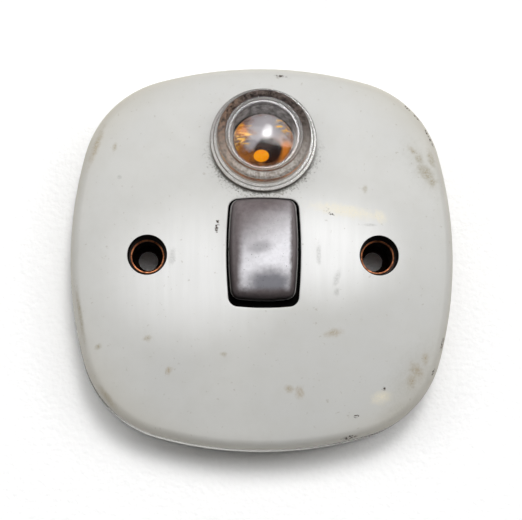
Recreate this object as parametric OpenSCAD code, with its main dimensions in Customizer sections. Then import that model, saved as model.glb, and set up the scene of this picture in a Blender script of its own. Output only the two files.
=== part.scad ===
// Surface-mounted rocker wall switch with a pilot lamp, lying on its back.
// X runs to the right across the face, Y up the wall, Z out of the face.
// The origin is the middle of the back, in the plane of the wall.

/* [Cover] */
// Width and height of the cover at its rim
cover_w = 86; // [82:0.5:96]
// Height of the middle of the face above the wall
cover_h = 18.5; // [18:0.25:22]
// Radius of the domed face
crown_r = 170; // [150:5:240]
// Radius of the bowed sides of the outline
side_r = 88; // [80:1:130]
// Radius of the rounded corners of the outline
corner_r = 23.5; // [19:0.5:27]
// Wall thickness of the cover
cover_wall = 2.2; // [1.8:0.1:2.6]
// Height of the straight skirt under the shoulder
skirt_h = 9.5; // [8:0.25:10.5]
// Width of the rounded shoulder between skirt and face
shoulder_w = 2.2; // [1.8:0.1:5]
// Inward lean of the skirt from the lip to the shoulder
skirt_draft = 0.1; // [0:0.05:0.6]
// Bevel along the outer edge of the rim
rim_bevel = 0.4; // [0.2:0.1:0.6]
// Height of the lip around the foot of the skirt
rim_lip_h = 1; // [0.8:0.1:1.6]
// Width of the lip around the foot of the skirt
rim_lip_w = 0.5; // [0.3:0.05:0.8]

/* [Rocker] */
// Width of the rocker at its middle
rocker_w = 15.3; // [13.5:0.1:16]
// Length of the rocker
rocker_l = 22.7; // [20.5:0.1:23.5]
// Height of the rocker's crown above its edge line
rocker_crown = 6.1; // [5:0.1:7]
// Width of the rounding along the sides of the rocker's face
rocker_round = 2; // [1.6:0.1:3.6]
// Width of the rounding at the ends of the rocker's face
rocker_end_round = 2.8; // [1.8:0.1:3.8]
// Radius of the bowed long sides of the rocker
rocker_side_r = 90; // [40:1:130]
// Radius of the bowed ends of the rocker
rocker_end_r = 42; // [30:1:80]
// Corner radius of the rocker's outline
rocker_corner_r = 2.2; // [2:0.1:3.4]
// Tilt of the rocker to each side of its middle position
rocker_tilt = 6.5; // [6:0.5:9]
// Gap between rocker and aperture along the sides
aperture_side_gap = 0.5; // [0.4:0.05:0.8]
// Gap between rocker and aperture at the ends, in the middle position
aperture_end_gap = 0.7; // [0.6:0.05:1.4]
// Offset of the rocker's pivot above the middle of the face
pivot_y = 1.5; // [0:0.05:1.8]
// Offset of the aperture above the middle of the face
aperture_y = 0.4; // [0:0.05:0.6]
// Diameter of the pivot pins
pin_d = 1.8; // [1.6:0.1:2.4]

/* [Fixing] */
// Distance between the two fixing holes
fixing_spacing = 50.8; // [49:0.1:54]
// Diameter of the fixing holes in the cover
fixing_hole_d = 8.7; // [8:0.1:9.6]
// Depth of the ferrule rims below the face
ferrule_depth = 4.4; // [3.6:0.1:5.4]
// Outer diameter of the fixing ferrules
ferrule_d = 7.5; // [7:0.1:7.8]
// Wall thickness of the fixing ferrules
ferrule_wall = 0.35; // [0.3:0.05:0.5]
// Thickness of the ferrule floor
ferrule_floor = 1.2; // [1:0.1:2]
// Diameter of the screw hole in the ferrule floor
fixing_screw_d = 4.4; // [3.6:0.1:5]

/* [Lens] */
// Height of the lens axis above the middle of the face
lens_y = 25.4; // [25:0.1:26.5]
// Diameter of the lens flange
lens_flange_d = 23.4; // [22.2:0.1:24]
// Width of the flange outside the lens body
lens_flange_w = 1.4; // [0.8:0.1:2]
// Height of the lens rim above the face
lens_h = 4.7; // [4:0.1:6]
// Distance from the raised ring in to the foot of the dome
lens_dome_inset = 1.3; // [0.9:0.1:2]
// Rise of the dome above the lens rim
lens_dome_rise = 1.5; // [1:0.1:2.5]
// Distance from the edge of the lens body in to the raised ring
lens_bead_inset = 2; // [1.6:0.1:2.4]
// Distance from the edge of the flange in to the neck that passes through the cover
lens_neck_inset = 2.1; // [1.6:0.1:2.6]
// Wall of the neck around the hollow under the lens
lens_neck_wall = 2; // [1.4:0.1:2.4]

/* [Base] */
// Thickness of the base plate
base_t = 3; // [2.8:0.1:3.4]
// Gap between base plate and cover skirt
base_gap = 0.5; // [0.4:0.05:0.8]
// Outer diameter of the pillars that hold the ferrules
pillar_d = 11; // [10:0.1:12]
// Thickness of the pivot cheeks
cheek_t = 2.4; // [2:0.1:2.6]
// Length of the pivot cheeks
cheek_l = 10; // [8:0.5:11]
// Width of the cable entry
entry_w = 18; // [14:0.5:24]
// Height of the cable entry
entry_l = 10; // [8:0.5:12]
// Distance of each cover screw from the middle, along X and along Y
cover_screw_pos = 24; // [23:0.25:25.5]
// Diameter of the cover screws
cover_screw_d = 3; // [2.6:0.1:3.2]

/* [Contacts] */
// Distance between the two poles
pole_spacing = 8.4; // [8.2:0.1:8.8]
// Width of the see-saw contact bars
bar_w = 4; // [3.4:0.1:4.2]
// Length of the see-saw contact bars
bar_l = 20; // [18.5:0.25:20.5]
// Thickness of the see-saw contact bars
bar_t = 1.2; // [1:0.1:1.4]
// Height of the see-saw pivots above the base plate
bar_rise = 4.6; // [4.5:0.1:5]
// Tilt of the see-saw bars to each side of their middle position
bar_tilt = 6; // [4.5:0.25:6]
// Diameter of the see-saw trunnions
trunnion_d = 1.8; // [1.4:0.1:2]
// Diameter of the silver contact tips
tip_d = 2.8; // [2.2:0.1:3]
// Height of each silver contact tip
tip_h = 0.6; // [0.5:0.05:0.8]
// Thickness of the contact strips
strip_t = 0.8; // [0.6:0.05:0.8]
// Width of the contact strips
strip_w = 4; // [3:0.1:4.2]
// Diameter of the spring plungers
plunger_d = 2.6; // [2.2:0.1:2.6]

/* [Terminals] */
// Width of a terminal block
terminal_w = 9; // [8.4:0.1:9.2]
// Depth of a terminal block
terminal_l = 6; // [5:0.1:6.4]
// Height of a terminal block
terminal_h = 6; // [5.6:0.1:6.4]
// Diameter of the wire hole in a terminal block
wire_hole_d = 3.2; // [2.6:0.1:3.4]
// Diameter of the clamp screws
clamp_d = 2.4; // [2:0.1:2.6]

/* [Lamp] */
// Outer diameter of the lamp glass
lamp_d = 9.8; // [9:0.1:10.4]
// Diameter of the lamp cap
lamp_cap_d = 9.5; // [8.8:0.1:9.8]
// Height of the lamp cap
lamp_cap_h = 5.2; // [4.5:0.1:5.6]
// Gap between lamp tip and lens
lamp_tip_gap = 0.6; // [0.4:0.1:1.2]
// Thickness of the lampholder insulator
insulator_t = 2; // [1.6:0.1:2.4]
// Diameter of the lamp leads
lead_d = 1.2; // [1:0.1:1.4]

/* [Hidden] */
$fn = 48;

// Colours of the pieces
finish_col = [0.84, 0.84, 0.82];
rocker_col = [0.30, 0.27, 0.28];
phenolic_col = [0.24, 0.12, 0.07];
brass_col = [0.78, 0.60, 0.28];
copper_col = [0.72, 0.42, 0.26];
silver_col = [0.80, 0.80, 0.78];
steel_col = [0.55, 0.56, 0.58];
clear_col = [0.86, 0.90, 0.90, 0.45];
amber_col = [0.95, 0.52, 0.12, 0.7];
lead_col = [0.60, 0.12, 0.10];
porcelain_col = [0.88, 0.86, 0.80];

// Small clearances shared by the pieces
seat = 0.05;
run_gap = 0.04;
side_gap = 0.3;
cut = 1;

// Heights of the mechanism
inner_h = cover_h - cover_wall;
bead_rise = 1.5;
pin_cover = 1.1;
pivot_z = inner_h - pin_cover - pin_d / 2;
bar_z = base_t + bar_rise;
bar_top = bar_z + bar_t / 2;
plunger_rest = 0.08;
plunger_reach = pivot_z - bar_top - plunger_rest;
pole_x = pole_spacing / 2;

// Points on each quarter of an outline: half of one side, a corner, half of the next side
side_n = 4;
corner_n = 8;

// Outline with four bowed sides and round corners, as the arcs' centres and radii
function outline(hx, hy, rx, ry, rc) =
    let (
        kx = hx - rx,
        ky = hy - ry,
        d = norm([kx, ky]),
        q1 = rx - rc,
        q2 = ry - rc,
        along = (q1 * q1 - q2 * q2 + d * d) / (2 * d),
        off = sqrt(q1 * q1 - along * along),
        cx = kx - along * kx / d - off * ky / d,
        cy = along * ky / d - off * kx / d
    )
    [kx, ky, rx, ry, cx, cy, rc, atan2(cy, cx - kx), atan2(cy - ky, cx)];

// Directions of the outline's normals over one quarter
function quarter(o) = concat(
    [for (i = [0 : side_n - 1]) o[7] * i / side_n],
    [for (i = [0 : corner_n - 1]) o[7] + (o[8] - o[7]) * i / corner_n],
    [for (i = [0 : side_n]) o[8] + (90 - o[8]) * i / side_n]
);

// Directions of the outline's normals all the way round
function normals(o) =
    let (q = quarter(o), n = len(q) - 1)
    concat(
        [for (i = [0 : n - 1]) q[i]],
        [for (i = [0 : n - 1]) 180 - q[n - i]],
        [for (i = [0 : n - 1]) 180 + q[i]],
        [for (i = [0 : n - 1]) 360 - q[n - i]]
    );

// Point of the outline whose normal points along a, moved inward by inset
function outline_point(o, a, inset) =
    let (
        c = abs(cos(a)),
        s = abs(sin(a)),
        f = atan2(s, c),
        x = f <= o[7] ? o[0] + (o[2] - inset) * c : f <= o[8] ? o[4] + (o[6] - inset) * c : (o[3] - inset) * c,
        y = f <= o[7] ? (o[2] - inset) * s : f <= o[8] ? o[5] + (o[6] - inset) * s : o[1] + (o[3] - inset) * s
    )
    [cos(a) < 0 ? -x : x, sin(a) < 0 ? -y : y];

// Plan of an outline, moved inward by inset
function plan(o, inset) = [for (a = normals(o)) outline_point(o, a, inset)];

// Height of a crowned face over the point p
function crown(p, h, rx, ry) = h - p[0] * p[0] / (2 * rx) - p[1] * p[1] / (2 * ry);

// Level ring of an outline
function level_ring(o, inset, z) = [for (p = plan(o, inset)) [p[0], p[1], z]];

// Ring on the rounding between a wall and a crowned face; t runs from 0 at the wall to 1 on the face
function round_ring(o, inset, w, t, z, h, rx, ry) =
    [for (p = plan(o, inset + w * t))
        [p[0], p[1], z + (crown(p, h, rx, ry) - z) * sqrt(1 - (1 - t) * (1 - t))]];

// Plan of an outline, drawn in by wx at its sides and wy at its ends
function drawn_in(o, inset, wx, wy) =
    let (fx = 1 - wx / (o[0] + o[2] - inset), fy = 1 - wy / (o[1] + o[3] - inset))
    [for (p = plan(o, inset)) [p[0] * fx, p[1] * fy]];

// Ring on a pillow's rounding, wider at the ends than at the sides
function pillow_ring(o, inset, wx, wy, t, z, h, rx, ry) =
    [for (p = drawn_in(o, inset, wx * t, wy * t))
        [p[0], p[1], z + (crown(p, h, rx, ry) - z) * sqrt(1 - (1 - t) * (1 - t))]];

// Ring on a crowned face, drawn in toward its middle
function crown_ring(o, inset, f, h, rx, ry) =
    [for (p = plan(o, inset) * f) [p[0], p[1], crown(p, h, rx, ry)]];

function reversed(list) = [for (i = [len(list) - 1 : -1 : 0]) list[i]];

// Closed solid through equal rings, closed at each end by a fan around a point
module loft(rings, first, last) {
    n = len(rings[0]);
    m = len(rings);
    points = concat([first], [for (r = rings) each r], [last]);
    side = [
        for (j = [0 : m - 2], i = [0 : n - 1])
            let (
                k = (i + 1) % n,
                a = 1 + j * n + i,
                b = 1 + j * n + k,
                c = 1 + (j + 1) * n + k,
                d = 1 + (j + 1) * n + i
            )
            each [[a, d, c], [a, c, b]]
    ];
    start = [for (i = [0 : n - 1]) [0, 1 + i, 1 + (i + 1) % n]];
    end = [for (i = [0 : n - 1])
        [1 + m * n, 1 + (m - 1) * n + (i + 1) % n, 1 + (m - 1) * n + i]];
    polyhedron(points = points, faces = concat(start, side, end));
}

// Places a child on both sides of the middle
module both_sides(x) {
    translate([x, 0, 0]) children();
    translate([-x, 0, 0]) children();
}

// Cylinder along X, from x0 to x1
module rod_x(d, x0, x1) {
    translate([x0, 0, 0]) rotate([0, 90, 0]) cylinder(d = d, h = x1 - x0);
}

// Box with its middle in X at x
module bar_box(x, w, y0, y1, z0, z1) {
    translate([x - w / 2, y0, z0]) cube([w, y1 - y0, z1 - z0]);
}

// Pan-headed screw pointing up, with its head's outer face at z = 0
module screw_up(d, head_d, head_h, length) {
    difference() {
        union() {
            cylinder(d = head_d, h = head_h);
            cylinder(d = d, h = length);
        }
        translate([-head_d, -head_d / 16, -cut]) cube([2 * head_d, head_d / 8, cut + head_h / 2]);
    }
}

// Coil spring standing on z = 0, as one tube along a helix
spring_sides = 6;
spring_steps = 12;
module coil_spring(coil_d, wire_d, height, turns) {
    steps = round(turns * spring_steps);
    pitch = (height - wire_d) / turns;
    echo(spring_gap = pitch - wire_d);
    rings = [
        for (i = [0 : steps])
            let (a = 360 * turns * i / steps, z = wire_d / 2 + pitch * turns * i / steps)
            [for (k = [0 : spring_sides - 1])
                let (b = 360 * k / spring_sides, r = coil_d / 2 - wire_d / 2 + wire_d / 2 * cos(b))
                [r * cos(a), r * sin(a), z + wire_d / 2 * sin(b)]]
    ];
    middle = [
        for (i = [0, steps])
            let (a = 360 * turns * i / steps, r = coil_d / 2 - wire_d / 2)
            [r * cos(a), r * sin(a), wire_d / 2 + pitch * turns * i / steps]
    ];
    loft(rings, middle[0], middle[1]);
}

// Round wire along a path, as one tube with mitred bends
wire_sides = 10;
module wire(path, d) {
    n = len(path);
    runs = [for (i = [0 : n - 2]) (path[i + 1] - path[i]) / norm(path[i + 1] - path[i])];
    rings = [
        for (i = [0 : n - 1])
            let (
                before = runs[max(i - 1, 0)],
                after = runs[min(i, n - 2)],
                t = (before + after) / norm(before + after),
                u = cross([0, 0, 1], t) / norm(cross([0, 0, 1], t)),
                v = cross(t, u)
            )
            [for (k = [0 : wire_sides - 1])
                path[i] + d / 2 * (cos(360 * k / wire_sides) * u + sin(360 * k / wire_sides) * v)]
    ];
    loft(rings, path[0], path[n - 1]);
}

// Cover: domed shell with a drafted skirt, open at the back
cover_outline = outline(cover_w / 2, cover_w / 2, side_r, side_r, corner_r);
inner_shoulder = 1;
round_steps = [0.02, 0.09, 0.22, 0.42, 0.68, 1];
crown_steps = [0.86, 0.7, 0.53, 0.36, 0.18];
skirt_in = rim_lip_w + skirt_draft;
inner_skirt_h = skirt_h - cover_wall;
inner_crown_r = crown_r - cover_wall;

outer_rings = concat(
    [level_ring(cover_outline, rim_bevel, 0)],
    [level_ring(cover_outline, 0, rim_bevel)],
    [level_ring(cover_outline, 0, rim_lip_h)],
    [level_ring(cover_outline, rim_lip_w, rim_lip_h)],
    [level_ring(cover_outline, skirt_in, skirt_h)],
    [for (t = round_steps)
        round_ring(cover_outline, skirt_in, shoulder_w, t, skirt_h, cover_h, crown_r, crown_r)],
    [for (f = crown_steps)
        crown_ring(cover_outline, skirt_in + shoulder_w, f, cover_h, crown_r, crown_r)]
);
inner_rings = concat(
    [level_ring(cover_outline, cover_wall, 0)],
    [level_ring(cover_outline, cover_wall + skirt_in, inner_skirt_h)],
    [for (t = [0.3, 1])
        round_ring(cover_outline, cover_wall + skirt_in, inner_shoulder, t, inner_skirt_h,
            inner_h, inner_crown_r, inner_crown_r)],
    [for (f = [0.75, 0.5, 0.25])
        crown_ring(cover_outline, cover_wall + skirt_in + inner_shoulder, f,
            inner_h, inner_crown_r, inner_crown_r)]
);

// Inner height of the cover over the point p
function inner_z(p) = crown(p, inner_h, inner_crown_r, inner_crown_r);

// Rocker's outline and the aperture around it
rocker_outline = outline(rocker_w / 2, rocker_l / 2, rocker_side_r, rocker_end_r, rocker_corner_r);
aperture_outline = outline(
    rocker_w / 2 + aperture_side_gap, rocker_l / 2 + aperture_end_gap,
    rocker_side_r + aperture_side_gap, rocker_end_r + aperture_end_gap, rocker_corner_r
);

// Relief under the upper edge of the aperture, where the rocker's end swings past
aperture_top = aperture_y + rocker_l / 2 + aperture_end_gap;
relief_land = 0.2;
relief_lean = 21;
relief_z = crown([0, aperture_top], cover_h, crown_r, crown_r) - relief_land;

// Lens seat on the face
lens_tilt = atan(lens_y / crown_r);
lens_z = crown([0, lens_y], cover_h, crown_r, crown_r);
lens_body_d = lens_flange_d - 2 * lens_flange_w;
lens_bead_d = lens_body_d - 2 * lens_bead_inset;
lens_dome_d = lens_bead_d - 2 * lens_dome_inset;
lens_neck_d = lens_flange_d - 2 * lens_neck_inset;
lens_hollow_d = lens_neck_d - 2 * lens_neck_wall;
lens_hole_d = lens_neck_d + 4 * seat;
lens_drop = lens_flange_d * lens_flange_d / (8 * crown_r);
lens_sink = lens_hole_d * lens_hole_d / (8 * crown_r);

// Places children on the lens axis, with z = 0 where it meets the face
module on_lens_axis() {
    translate([0, lens_y, lens_z]) rotate([-lens_tilt, 0, 0]) children();
}

// Cover screws: inserts in the bosses, screws from the back
boss_base = base_t + side_gap;
insert_d = cover_screw_d + 1.8;
insert_h = 6;
boss_d = insert_d + 3;
screw_head_d = cover_screw_d + 2.4;
screw_head_h = 1.7;
screw_sink = 0.3;
screw_pos = [[-cover_screw_pos, -cover_screw_pos], [cover_screw_pos, cover_screw_pos]];

module cover() {
    color(finish_col)
    difference() {
        union() {
            loft(concat(reversed(inner_rings), outer_rings), [0, 0, inner_h], [0, 0, cover_h]);
            for (p = screw_pos)
                translate([p[0], p[1], boss_base])
                    cylinder(d = boss_d, h = inner_z(p) + cover_wall / 2 - boss_base);
        }
        both_sides(fixing_spacing / 2)
            cylinder(d = fixing_hole_d, h = cover_h + cut);
        translate([0, aperture_y, inner_h - 2 * cover_wall])
            linear_extrude(4 * cover_wall) polygon(plan(aperture_outline, 0));
        translate([0, aperture_top, relief_z])
            rotate([relief_lean, 0, 0])
                translate([0, aperture_y - aperture_top, -2 * cover_wall])
                    linear_extrude(2 * cover_wall) polygon(plan(aperture_outline, 0));
        on_lens_axis()
            translate([0, 0, -2 * cover_wall]) cylinder(d = lens_hole_d, h = 4 * cover_wall);
        for (p = screw_pos)
            translate([p[0], p[1], boss_base - cut])
                cylinder(d = insert_d, h = insert_h + cut);
    }
}

module cover_inserts() {
    color(brass_col)
    for (p = screw_pos)
        translate([p[0], p[1], boss_base])
            difference() {
                cylinder(d = insert_d, h = insert_h);
                translate([0, 0, -cut]) cylinder(d = cover_screw_d + 2 * seat, h = insert_h + 2 * cut);
            }
}

module cover_screws() {
    color(steel_col)
    for (p = screw_pos)
        translate([p[0], p[1], screw_sink])
            screw_up(cover_screw_d, screw_head_d, screw_head_h, boss_base + insert_h - 2 * screw_sink);
}

// Base: plate inside the skirt, with pillars, cheeks and a barrier between the poles
cheek_x = rocker_w / 2 + aperture_side_gap + 0.75;
cheek_top = inner_z([cheek_x + cheek_t, pivot_y + cheek_l / 2]) - side_gap;
ferrule_x = fixing_spacing / 2;
ferrule_top = crown([ferrule_x, 0], cover_h, crown_r, crown_r) - ferrule_depth;
ferrule_lip = 0.6;
barrier_t = 1;
barrier_h = 5;
strip_z = base_t + strip_t;
bar_half = bar_l / 2;
terminal_inset = 10.8;
terminal_x = ferrule_x - terminal_inset;
out_gap = 2.6;
in_gap = 3.6;
out_y = pivot_y + bar_half + out_gap;
in_y = pivot_y - bar_half - in_gap;
clamp_x = 1.8;
fix_x = -2.6;
terminal_screw_d = 2.6;
terminal_head_d = 5;
terminal_places = [[-terminal_x, in_y], [-terminal_x, out_y], [terminal_x, in_y], [terminal_x, out_y]];
fix_places = [for (p = terminal_places) [p[0] + sign(p[0]) * fix_x, p[1]]];
clamp_places = [for (p = terminal_places) [p[0] + sign(p[0]) * clamp_x, p[1]]];
entry_gap = 2;
entry_y = in_y - terminal_l / 2 - entry_gap - entry_l / 2;
lamp_y = lens_y - (lens_z - base_t) * tan(lens_tilt) / 2;

module base_hole(d, head_d) {
    translate([0, 0, -cut]) cylinder(d = d + 0.4, h = base_t + 2 * cut);
    translate([0, 0, -cut]) cylinder(d = head_d + 0.6, h = cut + screw_sink + screw_head_h);
}

module base() {
    color(phenolic_col)
    difference() {
        union() {
            linear_extrude(base_t) polygon(plan(cover_outline, cover_wall + base_gap));
            both_sides(ferrule_x)
                cylinder(d = pillar_d, h = ferrule_top - ferrule_lip);
            both_sides(cheek_x + cheek_t / 2)
                bar_box(0, cheek_t, pivot_y - cheek_l / 2, pivot_y + cheek_l / 2, base_t - seat, cheek_top);
            bar_box(0, barrier_t, pivot_y - bar_half, pivot_y + bar_half, base_t - seat, base_t + barrier_h);
        }
        both_sides(ferrule_x)
            translate([0, 0, -cut]) cylinder(d = ferrule_d, h = ferrule_top + cut);
        translate([0, pivot_y, pivot_z])
            rod_x(pin_d, -cheek_x - cheek_t - cut, cheek_x + cheek_t + cut);
        for (p = screw_pos)
            translate([p[0], p[1], 0]) base_hole(cover_screw_d, screw_head_d);
        for (p = fix_places)
            translate([p[0], p[1], 0]) base_hole(terminal_screw_d, terminal_head_d);
        translate([0, entry_y, -cut])
            linear_extrude(base_t + 2 * cut)
                union() {
                    square([entry_w - entry_l, entry_l], center = true);
                    translate([(entry_w - entry_l) / 2, 0]) circle(d = entry_l);
                    translate([(entry_l - entry_w) / 2, 0]) circle(d = entry_l);
                }
    }
}

// Fixing ferrules: deep cups whose floor takes the fixing screw
module ferrule() {
    color(copper_col)
    difference() {
        cylinder(d = ferrule_d, h = ferrule_top);
        translate([0, 0, ferrule_floor])
            cylinder(d = ferrule_d - 2 * ferrule_wall, h = ferrule_top);
        translate([0, 0, -cut]) cylinder(d = fixing_screw_d, h = ferrule_floor + 2 * cut);
    }
}

module fixing_ferrule_left() {
    translate([-ferrule_x, 0, 0]) ferrule();
}

module fixing_ferrule_right() {
    translate([ferrule_x, 0, 0]) ferrule();
}

// Rocker: pillow-shaped key on two pins, tilted so that its upper end stands proud
edge_lip = 0.2;
edge_h = 0.35;
skirt_inset = 0.5;
apron_low = -1.2;
apron_t = 0.7;
apron_up = 0.45;
apron_down = 1.55;
rocker_top = bead_rise + rocker_crown;
rocker_crown_x = 24;
rocker_crown_y = 27;
rocker_low = bead_rise - edge_h;
barrel_wall = 0.7;
barrel_low = 2.6;
plunger_bore_d = plunger_d + 0.2;
bore_top = 2.2;
trunnion_wall = 0.6;
trunnion_boss_d = pin_d + 2 * trunnion_wall;
boss_end = cheek_x - side_gap;
pin_start = 6.4;

// Apron: thin flange under the cover that closes the gap around the rocker
apron_outline = outline(cheek_x - side_gap, (rocker_l + apron_up + apron_down) / 2,
    rocker_side_r, rocker_end_r, rocker_corner_r);
function apron_ring(z) =
    [for (p = plan(apron_outline, 0)) [p[0], p[1] + (apron_up - apron_down) / 2, z]];

rocker_rings = concat(
    [apron_ring(apron_low)],
    [apron_ring(apron_low + apron_t)],
    [level_ring(rocker_outline, skirt_inset, apron_low + apron_t)],
    [level_ring(rocker_outline, skirt_inset, rocker_low)],
    [level_ring(rocker_outline, 0, rocker_low)],
    [level_ring(rocker_outline, 0, bead_rise)],
    [level_ring(rocker_outline, edge_lip, bead_rise)],
    [for (t = round_steps)
        pillow_ring(rocker_outline, edge_lip, rocker_round, rocker_end_round, t, bead_rise,
            rocker_top, rocker_crown_x, rocker_crown_y)],
    [for (f = [0.8, 0.55, 0.28])
        [for (p = drawn_in(rocker_outline, edge_lip, rocker_round, rocker_end_round) * f)
            [p[0], p[1], crown(p, rocker_top, rocker_crown_x, rocker_crown_y)]]]
);

// Places children in the rocker's own frame, at its tilt in the photographed position
module on_rocker() {
    translate([0, pivot_y, pivot_z]) rotate([rocker_tilt, 0, 0]) children();
}

module rocker() {
    color(rocker_col)
    on_rocker()
        difference() {
            union() {
                loft(rocker_rings, [0, 0, apron_low], [0, 0, rocker_top]);
                both_sides(pole_x)
                    translate([0, 0, -barrel_low])
                        cylinder(d = plunger_bore_d + 2 * barrel_wall, h = barrel_low + rocker_low);
                rod_x(trunnion_boss_d, pole_x, boss_end);
                rod_x(trunnion_boss_d, -boss_end, -pole_x);
            }
            both_sides(pole_x)
                translate([0, 0, -barrel_low - cut])
                    cylinder(d = plunger_bore_d, h = barrel_low + bore_top + cut);
            rod_x(pin_d + 2 * run_gap, pin_start - side_gap, boss_end + cut);
            rod_x(pin_d + 2 * run_gap, -boss_end - cut, -pin_start + side_gap);
        }
}

module rocker_pin(x0, x1) {
    color(steel_col)
    translate([0, pivot_y, pivot_z]) rod_x(pin_d, x0, x1);
}

module rocker_pin_left() {
    rocker_pin(-cheek_x - cheek_t, -pin_start);
}

module rocker_pin_right() {
    rocker_pin(pin_start, cheek_x + cheek_t);
}

// Spring plungers under the rocker
plunger_in = 1.2;
plunger_l = plunger_reach - plunger_in;
spring_wire_d = 0.36;
spring_turns = 3.5;

module plunger(x) {
    color(brass_col)
    on_rocker()
        translate([x, 0, -plunger_reach])
            intersection() {
                cylinder(d = plunger_d, h = plunger_l);
                union() {
                    translate([0, 0, plunger_d / 2]) sphere(d = plunger_d);
                    translate([0, 0, plunger_d / 2]) cylinder(d = plunger_d, h = plunger_l);
                }
            }
}

module plunger_left() {
    plunger(-pole_x);
}

module plunger_right() {
    plunger(pole_x);
}

module plunger_spring(x) {
    color(steel_col)
    on_rocker()
        translate([x, 0, plunger_l - plunger_reach + seat])
            coil_spring(plunger_bore_d - 0.2, spring_wire_d,
                bore_top + plunger_reach - plunger_l - 2 * seat, spring_turns);
}

module plunger_spring_left() {
    plunger_spring(-pole_x);
}

module plunger_spring_right() {
    plunger_spring(pole_x);
}

// See-saw contact bars, tilted with the closed end down
ear_gap = 0.25;
ear_t = 0.8;
ear_l = 4;
ear_h = 1.8;
tip_y = bar_half - tip_d / 2 - 0.2;
tip_gap = 0.15;
trunnion_half = bar_w / 2 + ear_gap + ear_t;

// Places children in a see-saw bar's own frame
module on_seesaw(x) {
    translate([x, pivot_y, bar_z]) rotate([-bar_tilt, 0, 0]) children();
}

module seesaw(x) {
    color(copper_col)
    on_seesaw(x) {
        bar_box(0, bar_w, -bar_half, bar_half, -bar_t / 2, bar_t / 2);
        rod_x(trunnion_d, -trunnion_half, seat - bar_w / 2);
        rod_x(trunnion_d, bar_w / 2 - seat, trunnion_half);
    }
}

module seesaw_left() {
    seesaw(-pole_x);
}

module seesaw_right() {
    seesaw(pole_x);
}

module moving_tip(x) {
    color(silver_col)
    on_seesaw(x)
        translate([0, tip_y, -bar_t / 2 - tip_h]) cylinder(d = tip_d, h = tip_h);
}

module moving_tip_left() {
    moving_tip(-pole_x);
}

module moving_tip_right() {
    moving_tip(pole_x);
}

// Saddles: forked brackets that carry the see-saw trunnions, with a strip to the inlet terminal
module saddle(s) {
    color(brass_col)
    difference() {
        union() {
            bar_box(s * pole_x, 2 * trunnion_half, pivot_y - ear_l / 2, pivot_y + ear_l / 2, base_t, strip_z);
            for (e = [-1, 1])
                bar_box(s * pole_x + e * (trunnion_half - ear_t / 2), ear_t, pivot_y - ear_l / 2,
                    pivot_y + ear_l / 2, base_t, bar_z + ear_h);
            bar_box(s * pole_x, strip_w, in_y - strip_w / 2, pivot_y, base_t, strip_z);
            bar_box(s * (pole_x - strip_w / 2 + terminal_x + terminal_w / 2) / 2,
                terminal_x + terminal_w / 2 - pole_x + strip_w / 2,
                in_y - strip_w / 2, in_y + strip_w / 2, base_t, strip_z);
        }
        translate([s * pole_x, pivot_y, bar_z])
            rod_x(trunnion_d + 2 * run_gap, -trunnion_half - cut, trunnion_half + cut);
        translate([s * (terminal_x + fix_x), in_y, base_t - cut])
            cylinder(d = terminal_screw_d + 2 * seat, h = strip_t + 2 * cut);
    }
}

module saddle_left() {
    saddle(-1);
}

module saddle_right() {
    saddle(1);
}

// Fixed contacts: strips under the silver tips, with a foot under the outlet terminal
arm_z = -bar_t / 2 - 2 * tip_h - tip_gap;

module fixed_contact(s) {
    color(brass_col)
    difference() {
        union() {
            on_seesaw(s * pole_x)
                bar_box(0, strip_w, tip_y - tip_d / 2, tip_y + tip_d / 2 + 0.6, arm_z - strip_t, arm_z);
            bar_box(s * (pole_x - strip_w / 2 + terminal_x + terminal_w / 2) / 2,
                terminal_x + terminal_w / 2 - pole_x + strip_w / 2,
                pivot_y + bar_half - 0.2, out_y + strip_w / 2, base_t, strip_z);
        }
        translate([s * (terminal_x + fix_x), out_y, base_t - cut])
            cylinder(d = terminal_screw_d + 2 * seat, h = strip_t + 2 * cut);
    }
}

module fixed_contact_left() {
    fixed_contact(-1);
}

module fixed_contact_right() {
    fixed_contact(1);
}

module fixed_tip(x) {
    color(silver_col)
    on_seesaw(x)
        translate([0, tip_y, arm_z]) cylinder(d = tip_d, h = tip_h);
}

module fixed_tip_left() {
    fixed_tip(-pole_x);
}

module fixed_tip_right() {
    fixed_tip(pole_x);
}

// Terminals: brass blocks with a wire hole, a clamp screw above and a fixing screw below
wire_z = strip_z + terminal_h * 0.42;

module terminal(p) {
    s = sign(p[0]);
    color(brass_col)
    difference() {
        bar_box(p[0], terminal_w, p[1] - terminal_l / 2, p[1] + terminal_l / 2, strip_z, strip_z + terminal_h);
        translate([p[0] + s * clamp_x, p[1] - terminal_l, wire_z])
            rotate([-90, 0, 0]) cylinder(d = wire_hole_d, h = 2 * terminal_l);
        translate([p[0] + s * clamp_x, p[1], wire_z])
            cylinder(d = clamp_d + 2 * seat, h = terminal_h);
        translate([p[0] + s * fix_x, p[1], strip_z - cut])
            cylinder(d = terminal_screw_d + 2 * seat, h = terminal_h - 1 + cut);
    }
}

module terminal_line_in() {
    terminal(terminal_places[0]);
}

module terminal_line_out() {
    terminal(terminal_places[1]);
}

module terminal_neutral_in() {
    terminal(terminal_places[2]);
}

module terminal_neutral_out() {
    terminal(terminal_places[3]);
}

clamp_head_d = 4.6;
clamp_head_h = 1.6;
clamp_end = wire_z + lead_d / 2 + seat;
clamp_top = strip_z + terminal_h + seat + clamp_head_h;
terminal_screw_cover = 2;

module clamp_screws() {
    color(steel_col)
    for (p = clamp_places)
        translate([p[0], p[1], clamp_top])
            rotate([180, 0, 0])
                screw_up(clamp_d, clamp_head_d, clamp_head_h, clamp_top - clamp_end);
}

module terminal_screws() {
    color(steel_col)
    for (p = fix_places)
        translate([p[0], p[1], screw_sink])
            screw_up(terminal_screw_d, terminal_head_d, screw_head_h,
                strip_z + terminal_h - terminal_screw_cover - screw_sink);
}

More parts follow.
